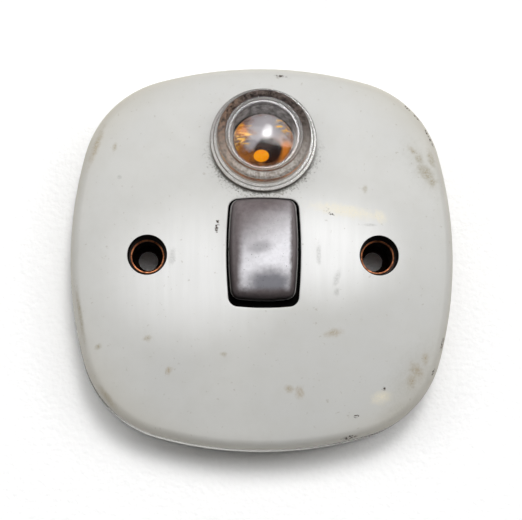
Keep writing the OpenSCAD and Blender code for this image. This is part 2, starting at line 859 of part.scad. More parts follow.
// Lens: clear stepped cap with a dome, a raised ring and a neck through the cover
flange_low = -lens_sink + seat;
flange_h = 0.9;
step_h = 0.6;
step_w = (lens_flange_d - lens_body_d) / 4;
lens_edge = 0.6;
band_sink = 0.35;
bead_w = 0.7;
lens_neck_l = 5.2;
hollow_top = 1.2;
hollow_rise = 1.4;
dome_r = (lens_dome_d * lens_dome_d / 4 + lens_dome_rise * lens_dome_rise) / (2 * lens_dome_rise);
hollow_r = (lens_hollow_d * lens_hollow_d / 4 + hollow_rise * hollow_rise) / (2 * hollow_rise);
arc_n = 10;

// Points of a dome's section, from its edge up to its middle
function dome_section(r, rise, d, z) =
    [for (i = [0 : arc_n]) let (a = asin(d / 2 / r) * (1 - i / arc_n)) [r * sin(a), z + rise - r + r * cos(a)]];

lens_section = concat(
    [[lens_hollow_d / 2, -lens_neck_l]],
    [[lens_neck_d / 2, -lens_neck_l]],
    [[lens_neck_d / 2, flange_low]],
    [[lens_flange_d / 2, flange_low]],
    [[lens_flange_d / 2, flange_low + flange_h]],
    [[lens_flange_d / 2 - step_w, flange_low + flange_h]],
    [[lens_flange_d / 2 - step_w, flange_low + flange_h + step_h]],
    [[lens_body_d / 2, flange_low + flange_h + step_h]],
    [[lens_body_d / 2, lens_h - lens_edge]],
    [[lens_body_d / 2 - lens_edge * 0.3, lens_h - lens_edge * 0.3]],
    [[lens_body_d / 2 - lens_edge, lens_h]],
    [[lens_bead_d / 2 + bead_w / 2, lens_h - band_sink]],
    [[lens_bead_d / 2 + bead_w / 4, lens_h]],
    [[lens_bead_d / 2 - bead_w / 4, lens_h]],
    [[lens_bead_d / 2 - bead_w / 2, lens_h - band_sink]],
    dome_section(dome_r, lens_dome_rise, lens_dome_d, lens_h - band_sink),
    reversed(dome_section(hollow_r, hollow_rise, lens_hollow_d, hollow_top - hollow_rise))
);

module lens() {
    color(clear_col)
    on_lens_axis()
        rotate_extrude($fn = 96) polygon(lens_section);
}

ring_t = 1.4;
ring_inset = 0.7;
ring_d = lens_flange_d - 2 * ring_inset;

module lens_retaining_ring() {
    color(phenolic_col)
    on_lens_axis()
        translate([0, 0, -cover_wall - lens_drop - side_gap - ring_t])
            difference() {
                cylinder(d = ring_d, h = ring_t);
                translate([0, 0, -cut]) cylinder(d = lens_neck_d + 2 * seat, h = ring_t + 2 * cut);
            }
}

// Lamp and its holder
shell_gap = 0.2;
shell_t = 0.35;
shell_d = lamp_cap_d + 2 * shell_gap + 2 * shell_t;
shell_z = base_t + insulator_t;
contact_h = 1.6;
cap_z = shell_z + contact_h;
cap_t = 0.4;
shell_low = 0.6;
shell_lip = 1.2;
shell_foot_t = 0.6;
insulator_lap = 1.7;
foot_d = 4;
foot_t = 0.5;
post_d = 2;
shell_h = contact_h + lamp_cap_h - shell_low;
glass_t = 0.6;
glass_low = cap_z + lamp_cap_h + seat;
lamp_tip = lens_z + hollow_top - lamp_tip_gap - lens_tilt * 0.02;
glass_dome = lamp_d / 2;

module on_lamp_axis() {
    translate([0, lamp_y, 0]) children();
}

module lamp_glass() {
    color(amber_col)
    on_lamp_axis()
        rotate_extrude()
            difference() {
                union() {
                    translate([0, glass_low]) square([lamp_d / 2, lamp_tip - glass_dome - glass_low]);
                    intersection() {
                        translate([0, lamp_tip - glass_dome]) circle(r = glass_dome);
                        translate([0, lamp_tip - glass_dome]) square(glass_dome);
                    }
                }
                translate([0, glass_low - cut])
                    square([lamp_d / 2 - glass_t, lamp_tip - glass_dome - glass_low + cut]);
                intersection() {
                    translate([0, lamp_tip - glass_dome]) circle(r = glass_dome - glass_t);
                    translate([0, lamp_tip - glass_dome]) square(glass_dome);
                }
            }
}

module lamp_cap() {
    color(brass_col)
    on_lamp_axis()
        translate([0, 0, cap_z])
            difference() {
                cylinder(d = lamp_cap_d, h = lamp_cap_h);
                translate([0, 0, cap_t]) cylinder(d = lamp_cap_d - 2 * cap_t, h = lamp_cap_h);
            }
}

electrode_d = 1;
electrode_x = 1.5;
electrode_plate_w = 2.2;
electrode_plate_h = 3;
electrode_plate_t = 0.7;
electrode_clear = 2;
electrode_top = lamp_tip - 2 * glass_t - electrode_clear;

module lamp_electrodes() {
    color(silver_col)
    on_lamp_axis()
        for (s = [-1, 1]) {
            translate([s * electrode_x, 0, cap_z + cap_t])
                cylinder(d = electrode_d, h = electrode_top - cap_z - cap_t);
            bar_box(s * electrode_x, electrode_plate_t, -electrode_plate_w / 2, electrode_plate_w / 2,
                electrode_top - electrode_plate_h, electrode_top);
        }
}

module lampholder_shell() {
    color(brass_col)
    on_lamp_axis()
        translate([0, 0, shell_z])
            difference() {
                union() {
                    cylinder(d = shell_d, h = shell_h);
                    cylinder(d = shell_d + 2 * shell_lip, h = shell_foot_t);
                }
                translate([0, 0, -cut]) cylinder(d = shell_d - 2 * shell_t, h = shell_h + 2 * cut);
            }
}

module lampholder_insulator() {
    color(porcelain_col)
    on_lamp_axis()
        translate([0, 0, base_t]) cylinder(d = shell_d + 2 * insulator_lap, h = insulator_t);
}

module lampholder_contact() {
    color(brass_col)
    on_lamp_axis()
        translate([0, 0, shell_z]) {
            cylinder(d = foot_d, h = foot_t);
            cylinder(d = post_d, h = contact_h - seat);
        }
}

// Lamp leads from the holder to the outlet terminals
lead_start = shell_d / 2 + shell_lip;
lead_away = 3;
lead_drop = 4.5;
lead_in = 2;

module lamp_lead(s) {
    tag = [s * lead_start * cos(30), lamp_y - lead_start * sin(30), shell_z + shell_foot_t + lead_d / 2];
    end = [s * (terminal_x + clamp_x), out_y + terminal_l / 2 - lead_in, wire_z];
    color(lead_col)
    wire([tag, [tag[0] + s * lead_away, tag[1], tag[2]], [end[0], end[1] + lead_drop, end[2]], end], lead_d);
}

module lamp_lead_line() {
    lamp_lead(-1);
}

module lamp_lead_neutral() {
    lamp_lead(1);
}

cover();
cover_inserts();
cover_screws();
base();
fixing_ferrule_left();
fixing_ferrule_right();
rocker();
rocker_pin_left();
rocker_pin_right();
plunger_left();
plunger_right();
plunger_spring_left();
plunger_spring_right();
seesaw_left();
seesaw_right();
moving_tip_left();
moving_tip_right();
saddle_left();
saddle_right();
fixed_contact_left();
fixed_contact_right();
fixed_tip_left();
fixed_tip_right();
terminal_line_in();
terminal_line_out();
terminal_neutral_in();
terminal_neutral_out();
clamp_screws();
terminal_screws();
lens();
lens_retaining_ring();
lamp_glass();
lamp_cap();
lamp_electrodes();
lampholder_shell();
lampholder_insulator();
lampholder_contact();
lamp_lead_line();
lamp_lead_neutral();
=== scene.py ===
import math

import bmesh
import bpy
from mathutils import Matrix, Vector


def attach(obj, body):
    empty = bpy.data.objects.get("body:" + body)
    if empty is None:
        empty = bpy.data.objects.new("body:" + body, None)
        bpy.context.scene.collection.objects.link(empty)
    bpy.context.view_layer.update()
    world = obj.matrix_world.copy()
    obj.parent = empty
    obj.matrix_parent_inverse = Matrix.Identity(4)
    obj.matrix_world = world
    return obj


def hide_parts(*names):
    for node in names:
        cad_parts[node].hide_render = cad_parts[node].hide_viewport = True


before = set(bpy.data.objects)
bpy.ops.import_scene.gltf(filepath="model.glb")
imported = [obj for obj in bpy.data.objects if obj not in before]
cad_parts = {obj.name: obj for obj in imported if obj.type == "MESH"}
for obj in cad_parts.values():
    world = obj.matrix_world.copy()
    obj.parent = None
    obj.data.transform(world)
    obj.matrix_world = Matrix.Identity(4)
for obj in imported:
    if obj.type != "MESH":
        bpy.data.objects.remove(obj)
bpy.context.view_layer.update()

# The view: the switch lies on its back on a white table, with its lens away
# from the viewer, and the camera looks down at its face from a little below
# and a little left of straight above.
view_distance = 0.450
view_width = 0.11841
view_aim = Vector((0.00005, 0.00044, 0))
lean_left = math.radians(2.0)
lean_down = math.radians(5.28)
sensor = 36.0
camera_data = bpy.data.cameras.new("camera")
camera_data.sensor_width = sensor
camera_data.lens = sensor * view_distance / view_width
camera = bpy.data.objects.new("camera", camera_data)
bpy.context.scene.collection.objects.link(camera)
back = Vector((-math.sin(lean_left), -math.sin(lean_down), 1.0)).normalized()
right = Vector((0, 1, 0)).cross(back).normalized()
camera.matrix_world = Matrix.Translation(view_aim + back * view_distance) @ Matrix(
    (right, back.cross(right), back)).transposed().to_4x4()
bpy.context.scene.camera = camera
bpy.context.scene.view_settings.view_transform = "Standard"


# Base: the plate that goes against the wall, pressed from brown phenolic with
# a faint fleck, with pillars for the ferrules and cheeks for the rocker pins.
class Tone:
    """A socket of a finish's nodes; sums and products of tones add Math nodes."""

    def __init__(self, socket):
        self.socket = socket
        self.tree = socket.id_data

    def node(self, kind, settings, sockets, out=0):
        made = self.tree.nodes.new("ShaderNode" + kind)
        for name, value in settings.items():
            setattr(made, name, value)
        for name, value in sockets.items():
            if isinstance(value, Tone):
                self.tree.links.new(value.socket, made.inputs[name])
            else:
                made.inputs[name].default_value = value
        return Tone(made.outputs[out])

    def math(self, operation, first, second):
        return self.node("Math", {"operation": operation}, {0: first, 1: second})

    def __add__(self, other):
        return self.math("ADD", self, other)

    def __sub__(self, other):
        return self.math("SUBTRACT", self, other)

    def __rsub__(self, other):
        return self.math("SUBTRACT", other, self)

    def __mul__(self, other):
        return self.math("MULTIPLY", self, other)

    def __or__(self, other):
        return self.math("MAXIMUM", self, other)

    __radd__ = __add__
    __rmul__ = __mul__

    def step(self, low, high):
        return self.node("MapRange", {"interpolation_type": "SMOOTHSTEP"},
                         {"Value": self, "From Min": low, "From Max": high})

    def blend(self, first, second):
        """A colour between two, with this tone as the share of the second."""
        colours = {6: first, 7: second}
        colours = {k: v if isinstance(v, Tone) else (*v, 1.0) for k, v in colours.items()}
        return self.node("Mix", {"data_type": "RGBA"}, {"Factor": self, **colours}, 2)

    def grain(self, scale, detail=3.0, rough=0.55):
        """Noise over a place in millimetres, with this many cells to the millimetre."""
        return self.node("TexNoise", {}, {"Vector": self, "Scale": scale, "Detail": detail,
                                          "Roughness": rough})

    def stretch(self, x, y, z):
        return self.node("Mapping", {}, {"Vector": self, "Scale": (x, y, z)})

    def axis(self, index):
        """One coordinate of a place: 0 across, 1 along and 2 up."""
        return self.node("SeparateXYZ", {}, {0: self}, index)

    def from_piece(self, origin, lean):
        """The place in the frame of a piece that leans about X at its origin."""
        return self.node("Mapping", {"vector_type": "TEXTURE"}, {
            "Vector": self, "Location": origin, "Rotation": (lean, 0, 0)})


def new_finish(name):
    """A material, its shader and the place on the piece in millimetres."""
    made = bpy.data.materials.new(name)
    made.use_nodes = True
    nodes = made.node_tree.nodes
    place = Tone(nodes.new("ShaderNodeTexCoord").outputs["Object"])
    place = place.node("VectorMath", {"operation": "SCALE"}, {0: place, "Scale": 1000.0})
    return made, nodes["Principled BSDF"], place


def lay(shader, sockets):
    """Links tones to the shader, and sets plain values on its own sockets."""
    for name, value in sockets.items():
        if isinstance(value, Tone):
            value.tree.links.new(value.socket, shader.inputs[name])
        else:
            shader.inputs[name].default_value = value


def raise_by(height, depth):
    """Bump from a height tone, this many millimetres deep."""
    return height.node("Bump", {}, {"Height": height, "Strength": 1.0,
                                    "Distance": depth * 0.001})


def dress(finish, *nodes):
    for name in nodes:
        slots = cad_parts[name].data.materials
        slots.clear()
        slots.append(finish)


phenolic, shader, place = new_finish("brown_phenolic")
fleck = place.grain(1.6, 4.0).step(0.35, 0.75)
cloud = place.grain(0.12, 2.0).step(0.3, 0.7)
lay(shader, {
    "Base Color": cloud.blend(fleck.blend((0.020, 0.010, 0.007), (0.046, 0.021, 0.013)),
                              fleck.blend((0.028, 0.015, 0.011), (0.058, 0.030, 0.020))),
    "Roughness": 0.42 + 0.18 * cloud,
    "Normal": raise_by(place.grain(2.4), 0.02),
})
dress(phenolic, "base", "lens_retaining_ring")


# Ferrules: two deep copper cups pressed into the base pillars. Their turned-in
# floor takes the fixing screw. Their rims show clean copper, worn by rubbing and
# partly a painted glint, and the copper below is dark with oxide.
def turned(name, section, steps=96):
    """A piece turned about Z from a section of radius and height."""
    bpy.ops.object.select_all(action="DESELECT")
    bpy.ops.mesh.primitive_plane_add(size=1, enter_editmode=True)
    bpy.ops.mesh.select_all(action="SELECT")
    bpy.ops.mesh.merge(type="CENTER")
    bpy.ops.transform.translate(value=(section[0][0], 0, section[0][1]))
    for (r0, z0), (r1, z1) in zip(section, section[1:]):
        bpy.ops.mesh.extrude_vertices_move(
            TRANSFORM_OT_translate={"value": (r1 - r0, 0, z1 - z0)})
    bpy.ops.mesh.select_all(action="SELECT")
    bpy.ops.mesh.spin(steps=steps, angle=2 * math.pi, center=(0, 0, 0), axis=(0, 0, 1))
    close_up()
    piece = bpy.context.object
    piece.name = piece.data.name = name
    return piece


def close_up():
    """Merges doubles, turns faces outward and leaves edit mode."""
    bpy.ops.mesh.select_all(action="SELECT")
    bpy.ops.mesh.remove_doubles(threshold=1e-4)
    bpy.ops.mesh.normals_make_consistent(inside=False)
    bpy.ops.object.mode_set(mode="OBJECT")


def eased(section, radius, steps=4):
    """The section with each inner corner rounded off."""
    out = [section[0]]
    for before, corner, after in zip(section, section[1:], section[2:]):
        corner = Vector(corner)
        legs = [Vector(before) - corner, Vector(after) - corner]
        ends = [corner + leg.normalized() * min(radius, 0.45 * leg.length) for leg in legs]
        for i in range(steps + 1):
            t = i / steps
            point = (1 - t) ** 2 * ends[0] + 2 * t * (1 - t) * corner + t * t * ends[1]
            out.append((point.x, point.y))
    return out + [section[-1]]


def finish_piece(piece, finishes, body, nodes, smooth=35.0):
    """Scales a piece to metres, dresses it and hands it to its body."""
    piece.data.transform(Matrix.Scale(0.001, 4))
    piece.data.materials.clear()
    for finish in finishes:
        piece.data.materials.append(finish)
    bpy.ops.object.select_all(action="DESELECT")
    piece.select_set(True)
    bpy.context.view_layer.objects.active = piece
    bpy.ops.object.shade_smooth_by_angle(angle=math.radians(smooth))
    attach(piece, body)
    if nodes:
        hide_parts(*nodes)


def recoat(piece, inside, to_local=Matrix(), finish=1):
    """Gives another of its finishes to the faces whose place, in millimetres, is inside."""
    for face in piece.data.polygons:
        if inside(to_local @ (face.center * 1000), face.normal):
            face.material_index = finish


ferrule_x = 25.4
ferrule_r = 3.75
ferrule_wall = 0.35
ferrule_floor = 1.2
ferrule_hole_r = 2.2
ferrule_top = 12.2
ferrule_section = eased([
    (ferrule_hole_r, 0.6), (ferrule_hole_r, 0), (ferrule_r, 0), (ferrule_r, ferrule_top),
    (ferrule_r - ferrule_wall, ferrule_top), (ferrule_r - ferrule_wall, ferrule_floor),
    (ferrule_hole_r, ferrule_floor), (ferrule_hole_r, 0.6)], 0.09)

copper_cup, shader, place = new_finish("rubbed_copper")
height = place.axis(2)
# Clean copper at the rim: worn by rubbing, and partly a painted glint where the rim catches light.
rubbed_and_sheen = height.step(ferrule_top - 2.4, ferrule_top - 0.05)
stain = place.grain(1.1, 4.0).step(0.35, 0.7)
dull = stain.blend((0.030, 0.014, 0.009), (0.016, 0.012, 0.010))
lay(shader, {
    "Base Color": rubbed_and_sheen.blend(dull, stain.blend((0.62, 0.235, 0.105), (0.20, 0.070, 0.035))),
    "Metallic": 0.9,
    "Roughness": 0.62 - 0.22 * rubbed_and_sheen + 0.12 * stain,
    "Normal": raise_by(place.grain(6.0), 0.01),
})
for side, name in ((-1, "fixing_ferrule_left"), (1, "fixing_ferrule_right")):
    ferrule = turned("turned_" + name, ferrule_section, 64)
    ferrule.data.transform(Matrix.Translation((side * ferrule_x, 0, 0)))
    finish_piece(ferrule, [copper_cup], "switch", [name])


# Contacts, saddles, terminals and screws: stamped brass and copper strip with
# silver tips and steel screws, all screwed down to the base inside the cover.
# The rocker pins, pressed into the cheeks of the base, are blackened steel.
def metal(name, clean, tarnish, rough, patchy):
    made, shader, place = new_finish(name)
    film = place.grain(0.55, 4.0, 0.65).step(patchy, patchy + 0.3)
    brushed = place.stretch(0.6, 0.6, 9.0).grain(2.0, 2.0)
    lay(shader, {
        "Base Color": film.blend(clean, tarnish),
        "Metallic": 1.0,
        "Roughness": rough + 0.22 * film + 0.10 * brushed,
        "Normal": raise_by(brushed, 0.008),
    })
    return made


brass = metal("aged_brass", (0.70, 0.47, 0.19), (0.30, 0.19, 0.08), 0.24, 0.45)
copper = metal("aged_copper", (0.66, 0.33, 0.19), (0.30, 0.13, 0.08), 0.26, 0.45)
silver = metal("contact_silver", (0.78, 0.77, 0.73), (0.32, 0.30, 0.27), 0.20, 0.55)
steel = metal("dull_steel", (0.46, 0.46, 0.47), (0.20, 0.17, 0.15), 0.32, 0.48)
dress(brass, "saddle_left", "saddle_right", "fixed_contact_left", "fixed_contact_right",
      "terminal_line_in", "terminal_line_out", "terminal_neutral_in", "terminal_neutral_out",
      "cover_inserts", "plunger_left", "plunger_right")
dress(copper, "seesaw_left", "seesaw_right")
dress(silver, "moving_tip_left", "moving_tip_right", "fixed_tip_left", "fixed_tip_right")
dress(steel, "clamp_screws", "terminal_screws", "cover_screws", "plunger_spring_left",
      "plunger_spring_right")
blackened, shader, place = new_finish("blackened_steel")
scale = place.grain(2.2, 3.0).step(0.4, 0.7)
lay(shader, {
    "Base Color": scale.blend((0.010, 0.010, 0.011), (0.020, 0.017, 0.015)),
    "Roughness": 0.6 + 0.2 * scale,
    "Specular IOR Level": 0.15,
})
dress(blackened, "rocker_pin_left", "rocker_pin_right")

# Lampholder and leads: a brass shell on a porcelain foot behind the lens, with
# two rubber-covered leads to the outlet terminals.
porcelain, shader, place = new_finish("glazed_porcelain")
craze = place.grain(0.8, 4.0).step(0.5, 0.72)
lay(shader, {
    "Base Color": craze.blend((0.70, 0.67, 0.60), (0.52, 0.47, 0.38)),
    "Roughness": 0.18 + 0.2 * craze,
    "Normal": raise_by(place.grain(1.5), 0.01),
})
rubber, shader, place = new_finish("lead_rubber")
pale_field = place.grain(1.4, 4.0).step(0.4, 0.7)
lay(shader, {
    "Base Color": pale_field.blend((0.26, 0.030, 0.022), (0.33, 0.085, 0.065)),
    "Roughness": 0.55 + 0.2 * pale_field,
    "Normal": raise_by(place.grain(5.0), 0.02),
})
dress(porcelain, "lampholder_insulator")
dress(rubber, "lamp_lead_line", "lamp_lead_neutral")
dress(brass, "lampholder_shell", "lampholder_contact", "lamp_cap")
dress(silver, "lamp_electrodes")

# Lamp: a small round glass bulb lacquered amber, cemented into its brass cap
# under the lens. Its colour carries painted light seen through the lens, and the
# bulb is given a painted glow although the lamp is unlit.
lamp_y = 24.39
lamp_r = 6.6
lamp_neck_r = 4.9
lamp_wall = 0.6
lamp_foot = 11.85
lamp_tip = 18.3
lamp_waist = 14.6
lamp_arc = [math.radians(a) for a in range(-20, 91, 5)]


def bulb(inset):
    rise = lamp_tip - lamp_waist - inset
    return [((lamp_r - inset) * math.cos(a), lamp_waist + rise * math.sin(a)) for a in lamp_arc]


lamp_section = ([(lamp_neck_r - lamp_wall, lamp_foot), (lamp_neck_r, lamp_foot)] + bulb(0)
                + list(reversed(bulb(lamp_wall))) + [(lamp_neck_r - lamp_wall, lamp_foot)])
amber, shader, place = new_finish("amber_lacquer_painted_light")
swirl = place.grain(0.5, 4.0).step(0.3, 0.7)


def spot(place, x, y, length, width, turn=0.0):
    """Distance from an oval patch's middle, 1 at its edge."""
    oval = place.node("Mapping", {"vector_type": "TEXTURE"}, {
        "Vector": place, "Location": (x, y, 0), "Rotation": (0, 0, math.radians(turn)),
        "Scale": (length, width, 1e6)})
    return oval.node("VectorMath", {"operation": "LENGTH"}, {0: oval}, 1)


ragged = 1.2 * place.grain(0.8, 5.0, 0.65) - 0.6
# Painted light seen through the lens: a silvery painted reflection, orange spots of painted glow,
# and gold painted glints with dark streaks at the sides.
painted_reflection = (spot(place, 0.8, 28.0, 4.9, 3.6, -6) + ragged).step(1.25, 0.55)
painted_reflection = painted_reflection | (spot(place, -1.6, 24.6, 3.0, 1.8, 25) + ragged).step(1.2, 0.5)
painted_glow_spots = (spot(place, -4.7, 27.4, 1.4, 2.2, 30) + ragged).step(1.2, 0.4)
painted_glow_spots = painted_glow_spots | (spot(place, 4.3, 23.0, 1.4, 2.4, -20) + ragged).step(1.2, 0.3)
# A dark patch of painted shade: the shaded inside of the lamp chamber seen through the lens.
painted_shade_patch = (spot(place, 0.9, 22.8, 2.9, 2.7) + 0.4 * ragged).step(1.15, 0.85)
# An orange spot of painted light: the caustic that the dome focuses onto the lamp.
window_glow = spot(place, -0.5, 21.7, 1.6, 1.25).step(1.05, 0.9)
lacquer_and_painted_light = swirl.blend((0.36, 0.12, 0.022), (0.10, 0.036, 0.012))
lacquer_and_painted_light = painted_reflection.blend(lacquer_and_painted_light, (0.29, 0.27, 0.29))
lacquer_and_painted_light = (0.8 * painted_glow_spots).blend(lacquer_and_painted_light, (0.66, 0.20, 0.015))
streaked = place.stretch(0.35, 2.2, 1.0).grain(1.0, 3.0)
sides = (spot(place, -5.0, 26.4, 2.4, 3.4) + ragged).step(1.2, 0.6)
sides = sides | (spot(place, 4.6, 28.2, 2.2, 2.0) + ragged).step(1.2, 0.6)
lacquer_and_painted_light = (sides * streaked.step(0.52, 0.60)).blend(lacquer_and_painted_light, (0.80, 0.44, 0.05))
lacquer_and_painted_light = (0.8 * sides * streaked.step(0.44, 0.36)).blend(lacquer_and_painted_light, (0.07, 0.06, 0.07))
lacquer_and_painted_light = painted_shade_patch.blend(lacquer_and_painted_light, swirl.blend((0.010, 0.005, 0.004), (0.035, 0.012, 0.007)))
lacquer_and_painted_light = window_glow.blend(lacquer_and_painted_light, swirl.blend((1.0, 0.40, 0.010), (0.95, 0.28, 0.004)))
# The emission is a painted glow: the lamp is unlit.
lay(shader, {
    "Base Color": lacquer_and_painted_light,
    "Roughness": 0.42 + 0.1 * swirl,
    "Specular IOR Level": 0.04,
    "Emission Color": lacquer_and_painted_light,
    "Emission Strength": 0.4,
})
lamp = turned("amber_lamp", lamp_section, 64)
lamp.data.transform(Matrix.Translation((0, lamp_y, 0)))
finish_piece(lamp, [amber], "switch", ["lamp_glass"])

# Rocker: a pillow-shaped key moulded in dark phenolic that tilts on two steel
# pins, with a broad painted highlight across its face and a painted highlight
# along its lip. Its lower end is pressed in.
round_steps = [1 - math.cos(math.radians(a)) for a in (4, 12, 20, 29, 38, 48, 58, 69, 80, 90)]


class Outline:
    """Four bowed sides joined by round corners."""

    def __init__(self, half_x, half_y, side_r, end_r, corner_r):
        kx, ky = half_x - side_r, half_y - end_r
        d = math.hypot(kx, ky)
        q1, q2 = side_r - corner_r, end_r - corner_r
        along = (q1 * q1 - q2 * q2 + d * d) / (2 * d)
        off = math.sqrt(q1 * q1 - along * along)
        cx = kx - along * kx / d - off * ky / d
        cy = along * ky / d - off * kx / d
        self.arcs = ((kx, 0, side_r), (cx, cy, corner_r), (0, ky, end_r))
        self.ends = (math.atan2(cy, cx - kx), math.atan2(cy - ky, cx))

    def directions(self, side_n, corner_n):
        low, high = self.ends
        quarter = [low * i / side_n for i in range(side_n)]
        quarter += [low + (high - low) * i / corner_n for i in range(corner_n)]
        quarter += [high + (math.pi / 2 - high) * i / side_n for i in range(side_n)]
        half = quarter + [math.pi / 2] + [math.pi - a for a in reversed(quarter)][:-1]
        return half + [math.pi + a for a in half]

    def point(self, angle, inset):
        c, s = abs(math.cos(angle)), abs(math.sin(angle))
        f = math.atan2(s, c)
        x, y, r = self.arcs[0 if f <= self.ends[0] else 1 if f <= self.ends[1] else 2]
        x, y = x + (r - inset) * c, y + (r - inset) * s
        return math.copysign(x, math.cos(angle)), math.copysign(y, math.sin(angle))

    def ring(self, directions, inset):
        return [self.point(a, inset) for a in directions]


def lofted(name, rings):
    """A skin drawn through rings of points, one extrusion after another."""
    bpy.ops.object.select_all(action="DESELECT")
    bpy.ops.mesh.primitive_circle_add(vertices=len(rings[0]), fill_type="NOTHING",
                                      enter_editmode=True)
    piece = bpy.context.object
    piece.name = piece.data.name = name
    places = {tuple(v.co): i for i, v in enumerate(bmesh.from_edit_mesh(piece.data).verts)}
    for k, ring in enumerate(rings):
        if k:
            bpy.ops.mesh.extrude_region_move()
        skin = bmesh.from_edit_mesh(piece.data)
        moved = {}
        for v in [v for v in skin.verts if v.select]:
            i = places[tuple(v.co)]
            v.co = ring[i]
            moved[tuple(v.co)] = i
        places = moved
        bmesh.update_edit_mesh(piece.data)
    return piece


def crown(x, y, top, rx, ry):
    """Height of a crowned face."""
    return top - x * x / (2 * rx) - y * y / (2 * ry)


def join_or_cut(piece, tool, operation):
    """Unites a tool with the piece, or cuts it out of it, and removes the tool."""
    bpy.ops.object.select_all(action="DESELECT")
    bpy.context.view_layer.objects.active = piece
    bpy.ops.object.modifier_add(type="BOOLEAN")
    cutter = piece.modifiers[-1]
    cutter.operation, cutter.object, cutter.solver = operation, tool, "EXACT"
    bpy.ops.object.modifier_apply(modifier=cutter.name)
    bpy.data.objects.remove(tool)


rocker_half = (7.65, 11.35)
rocker_outline = Outline(*rocker_half, 87, 42, 2.2)
rocker_round = (2.0, 2.8)
rocker_edge = 1.5
rocker_lip = 0.2
rocker_lip_h = 0.35
rocker_top = 7.6
rocker_crown = (24, 27)
rocker_skirt = 0.5
rocker_tilt = math.radians(6.5)
pivot = (0, 1.5, 14.3)
apron_outline = Outline(8.6, 12.35, 115, 60, 2.2)
apron_shift = -0.55
apron_low = -1.2
apron_top = -0.5
apron_ease = 0.12
around = rocker_outline.directions(8, 12)


def rocker_level(inset, z):
    return [(x, y, z) for x, y in rocker_outline.ring(around, inset)]


def apron_level(inset, z):
    return [(x, y + apron_shift, z) for x, y in apron_outline.ring(around, inset)]


def drawn_in(t):
    """The rocker's edge line, drawn in by a share of the rounding's width."""
    fx, fy = (1 - t * w / (h - rocker_lip) for w, h in zip(rocker_round, rocker_half))
    return [(x * fx, y * fy) for x, y in rocker_outline.ring(around, rocker_lip)]


rings = [apron_level(apron_ease, apron_low), apron_level(0, apron_low + apron_ease),
         apron_level(0, apron_top - apron_ease), apron_level(apron_ease, apron_top),
         rocker_level(rocker_skirt - 0.08, apron_top),
         rocker_level(rocker_skirt, apron_top + 0.08),
         rocker_level(rocker_skirt, rocker_edge - rocker_lip_h - 0.08),
         rocker_level(rocker_skirt - 0.06, rocker_edge - rocker_lip_h),
         rocker_level(0.08, rocker_edge - rocker_lip_h),
         rocker_level(0, rocker_edge - rocker_lip_h + 0.07),
         rocker_level(0, rocker_edge - 0.07),
         rocker_level(0.08, rocker_edge),
         rocker_level(rocker_lip, rocker_edge)]
for t in round_steps:
    rise = math.sqrt(1 - (1 - t) ** 2)
    rings.append([
        (x, y, rocker_edge + (crown(x, y, rocker_top, *rocker_crown) - rocker_edge) * rise)
        for x, y in drawn_in(t)])
face = drawn_in(1)
for f in (0.9, 0.8, 0.68, 0.55, 0.42, 0.28, 0.14):
    rings.append([(x * f, y * f, crown(x * f, y * f, rocker_top, *rocker_crown)) for x, y in face])
rocker = lofted("rocker_key", rings)
bpy.ops.mesh.merge(type="CENTER")
centre = [v for v in bmesh.from_edit_mesh(rocker.data).verts if v.select]
centre[0].co.z = rocker_top
bpy.ops.mesh.select_all(action="DESELECT")
bpy.ops.mesh.select_non_manifold()
bpy.ops.mesh.edge_face_add()
close_up()
barrel_x = 4.2
barrel = [(1.4, -2.6), (2.1, -2.6), (2.1, -0.9), (1.4, -0.9), (1.4, -2.6)]
pin_boss = [(0.94, 2.4), (1.5, 2.4), (1.5, 4.4), (0.94, 4.4), (0.94, 2.4)]
for side in (-1, 1):
    on_barrel = Matrix.Translation((side * barrel_x, 0, 0))
    tube = turned("barrel", barrel, 32)
    tube.data.transform(on_barrel)
    join_or_cut(rocker, tube, "UNION")
    boss = turned("boss", pin_boss, 32)
    boss.data.transform(on_barrel @ Matrix.Rotation(side * math.pi / 2, 4, "Y"))
    join_or_cut(rocker, boss, "UNION")
on_rocker = Matrix.Translation(pivot) @ Matrix.Rotation(rocker_tilt, 4, "X")
rocker.data.transform(on_rocker)

key_highlight_finish, shader, place = new_finish("dark_phenolic_painted_highlight")
place = place.from_piece(pivot, rocker_tilt)
height = place.axis(2)
mottle = place.grain(0.9, 5.0, 0.6).step(0.32, 0.7)
ragged = 1.4 * place.grain(0.5, 5.0, 0.6) - 0.7
across = place.axis(0) + ragged
along = place.axis(1) + ragged
# The light field on the face is a painted highlight, the broad reflection of a light; smudges dull
# it to a bluish grey.
pale_field = across.step(-6.1, -4.0) * across.step(6.3, 5.2)
pale_field = pale_field * (along - 0.5 * across).step(10.0, -3.5) * along.step(-9.4, -7.6)
smudge_in_highlight = (spot(place, -0.9, 0.6, 3.2, 1.5, 15) + 0.4 * ragged).step(1.25, 0.3)
smudge_in_highlight = (0.55 * smudge_in_highlight) | (spot(place, 1.2, -7.4, 6.4, 3.9) + 0.4 * ragged).step(1.3, 0.35)
painted_highlight = pale_field * (1.0 - 0.85 * smudge_in_highlight) * (0.88 + 0.12 * mottle)
speck = place.grain(3.4, 2.0).step(0.66, 0.74)
# A painted highlight along the top of the lip.
lip_highlight = height.step(rocker_edge + 0.14, rocker_edge + 0.02) * (0.6 + 0.4 * mottle)
skin = mottle.blend((0.130, 0.108, 0.110), (0.170, 0.143, 0.146))
skin = (pale_field * smudge_in_highlight).blend(skin, (0.115, 0.115, 0.135))
skin = painted_highlight.blend(skin, (0.90, 0.89, 0.93))
skin = (0.7 * speck).blend(skin, (0.028, 0.020, 0.018))
skin = lip_highlight.blend(skin, (0.58, 0.57, 0.55))
lay(shader, {
    "Base Color": skin,
    "Roughness": 0.38 + 0.08 * smudge_in_highlight + 0.06 * mottle,
    "Specular IOR Level": 0.28,
    "Normal": raise_by(place.grain(1.3, 4.0), 0.010),
})
